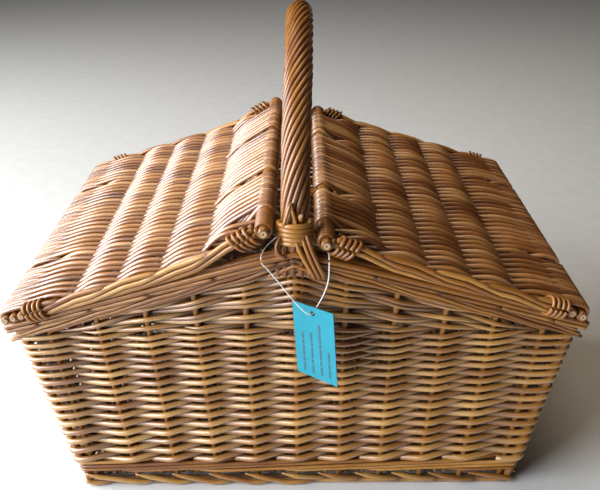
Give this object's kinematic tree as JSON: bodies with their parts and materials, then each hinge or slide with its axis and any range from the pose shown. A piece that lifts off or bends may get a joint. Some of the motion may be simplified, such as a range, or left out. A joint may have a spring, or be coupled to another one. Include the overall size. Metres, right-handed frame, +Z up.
{
  "type": "lidded picnic basket",
  "caption": "Oblong wicker picnic basket with a gabled rim, a lid hinged on each side of the ridge, a roped arch handle above them and a hang tag at the front.",
  "frame": {"origin": "middle of the foot border on the surface that the basket stands on", "axes": "+X to the right, along the longest side; +Y to the back; +Z up"},
  "size_m": [0.466, 0.3593, 0.4144],
  "materials": {
    "willow_weave": "varnished, satin gloss",
    "willow_borders": "varnished, satin gloss",
    "willow_sticks": "varnished, satin gloss",
    "tag_card": "smooth card",
    "tag_string": "twisted cotton"
  },
  "bodies": {
    "basket": {"base_sticks": "willow_sticks", "base_weave": "willow_weave", "foot_border": "willow_borders", "bottom_wale": "willow_borders", "corner_posts": "willow_sticks", "front_stakes": "willow_sticks", "back_stakes": "willow_sticks", "left_stakes": "willow_sticks", "right_stakes": "willow_sticks", "front_wall": "willow_weave", "back_wall": "willow_weave", "left_wall": "willow_weave", "right_wall": "willow_weave", "front_rim": "willow_borders", "back_rim": "willow_borders", "left_rim": "willow_borders", "right_rim": "willow_borders", "handle_core": "willow_sticks", "handle_strands": "willow_borders", "front_handle_binding": "willow_borders", "back_handle_binding": "willow_borders", "front_handle_pegs": "willow_borders", "back_handle_pegs": "willow_borders", "ridge_bar": "willow_sticks", "left_hinge_loops": "willow_sticks", "right_hinge_loops": "willow_sticks", "tag_loop": "tag_string"},
    "left_lid": {"left_hinge_stick": "willow_weave", "left_ribs": "willow_sticks", "left_outer_sticks": "willow_sticks", "left_lid_weave": "willow_weave", "left_front_edge": "willow_borders", "left_back_edge": "willow_borders", "left_edge_bindings": "willow_borders"},
    "right_lid": {"right_hinge_stick": "willow_weave", "right_ribs": "willow_sticks", "right_outer_sticks": "willow_sticks", "right_lid_weave": "willow_weave", "right_front_edge": "willow_borders", "right_back_edge": "willow_borders", "right_edge_bindings": "willow_borders"},
    "tag": {"tag_string": "tag_string", "hang_tag": "tag_card"}
  },
  "joints": [
    {"name": "left_lid_hinge", "type": "hinge", "parent": "basket", "child": "left_lid", "pos_m": [-0.023, 0, 0.28], "axis": [0, 1, 0], "range_deg": [0, 100]},
    {"name": "right_lid_hinge", "type": "hinge", "parent": "basket", "child": "right_lid", "pos_m": [0.023, 0, 0.27], "axis": [0, -1, 0], "range_deg": [0, 100]},
    {"name": "tag_swing", "type": "hinge", "parent": "basket", "child": "tag", "pos_m": [0, -0.1705, 0.259], "axis": [-1, 0, 0], "range_deg": [0, 60]}
  ]
}
